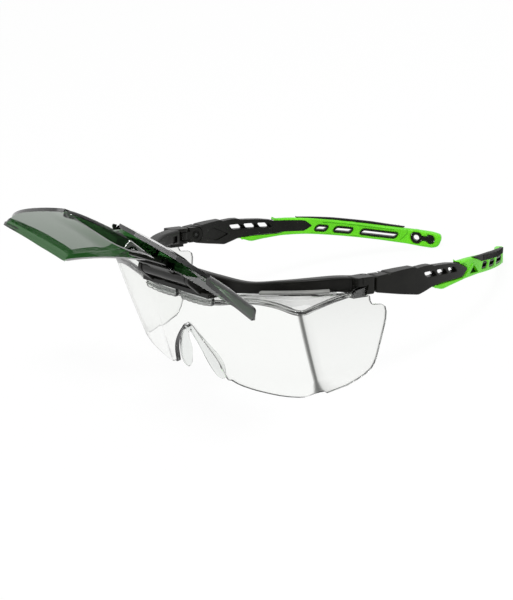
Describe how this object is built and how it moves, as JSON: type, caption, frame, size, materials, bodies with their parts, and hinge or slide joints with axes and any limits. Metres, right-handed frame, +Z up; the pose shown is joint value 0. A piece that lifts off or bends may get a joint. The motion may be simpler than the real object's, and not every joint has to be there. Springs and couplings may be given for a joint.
{
  "type": "flip-up safety overglasses",
  "caption": "Wrap-round clear safety overglasses with folding, tilting temples and a green tinted visor that flips up on a centre hinge above the brow.",
  "frame": {"origin": "centre of the footprint at the height of the table that the glasses stand on", "axes": "+X to the wearer's left, +Y back along the temples, +Z up"},
  "size_m": [0.1744, 0.2082, 0.0928],
  "materials": {
    "black_nylon": "satin black moulded nylon",
    "green_rubber": "satin lime green soft rubber",
    "black_rubber": "matt black soft rubber",
    "clear_lens": "clear polished polycarbonate",
    "clear_grip": "clear moulded polycarbonate",
    "soft_clear": "clear soft rubber",
    "grey_seal": "translucent grey soft rubber",
    "green_visor": "deep green tinted polished polycarbonate",
    "steel": "plain steel"
  },
  "bodies": {
    "frame": {"clear_lens": "clear_lens", "brow_bar": "black_nylon", "brow_seal_left": "grey_seal", "brow_seal_right": "grey_seal", "nose_piece": "soft_clear", "flip_mount": "black_nylon", "flip_pin": "steel", "detent_spring": "steel", "lens_grip_left": "clear_grip", "lens_grip_right": "clear_grip", "fold_pin_left": "steel", "fold_pin_right": "steel"},
    "visor": {"flip_visor": "green_visor", "flip_carrier": "black_nylon", "clamp_plate": "black_nylon", "visor_screw_left": "steel", "visor_screw_right": "steel"},
    "link_left": {"hinge_link_left": "black_nylon", "tilt_pin_left": "steel"},
    "link_right": {"hinge_link_right": "black_nylon", "tilt_pin_right": "steel"},
    "temple_left": {"temple_plate_left": "black_nylon", "temple_sleeve_left": "green_rubber", "grip_pad_left": "black_rubber", "tip_insert_left": "black_nylon", "slot_liner_1_left": "black_nylon", "slot_liner_2_left": "black_nylon", "slot_liner_3_left": "black_nylon"},
    "temple_right": {"temple_plate_right": "black_nylon", "temple_sleeve_right": "green_rubber", "grip_pad_right": "black_rubber", "tip_insert_right": "black_nylon", "slot_liner_1_right": "black_nylon", "slot_liner_2_right": "black_nylon", "slot_liner_3_right": "black_nylon"}
  },
  "joints": [
    {"name": "visor_flip", "type": "hinge", "parent": "frame", "child": "visor", "pos_m": [0, -0.06889, 0.05552], "axis": [1, 0, 0], "range_deg": [0, 137]},
    {"name": "fold_left", "type": "hinge", "parent": "frame", "child": "link_left", "pos_m": [0.0718, -0.01668, 0.04331], "axis": [-0.0698, 0.2543, 0.9646], "range_deg": [0, 62]},
    {"name": "fold_right", "type": "hinge", "parent": "frame", "child": "link_right", "pos_m": [-0.0718, -0.01668, 0.04331], "axis": [-0.0698, -0.2543, -0.9646], "range_deg": [0, 78]},
    {"name": "tilt_left", "type": "hinge", "parent": "link_left", "child": "temple_left", "pos_m": [0.0718, -0.01006, 0.04095], "axis": [-1, 0, 0], "range_deg": [-4, 5]},
    {"name": "tilt_right", "type": "hinge", "parent": "link_right", "child": "temple_right", "pos_m": [-0.0718, -0.01006, 0.04095], "axis": [-1, 0, 0], "range_deg": [-4, 5]}
  ]
}
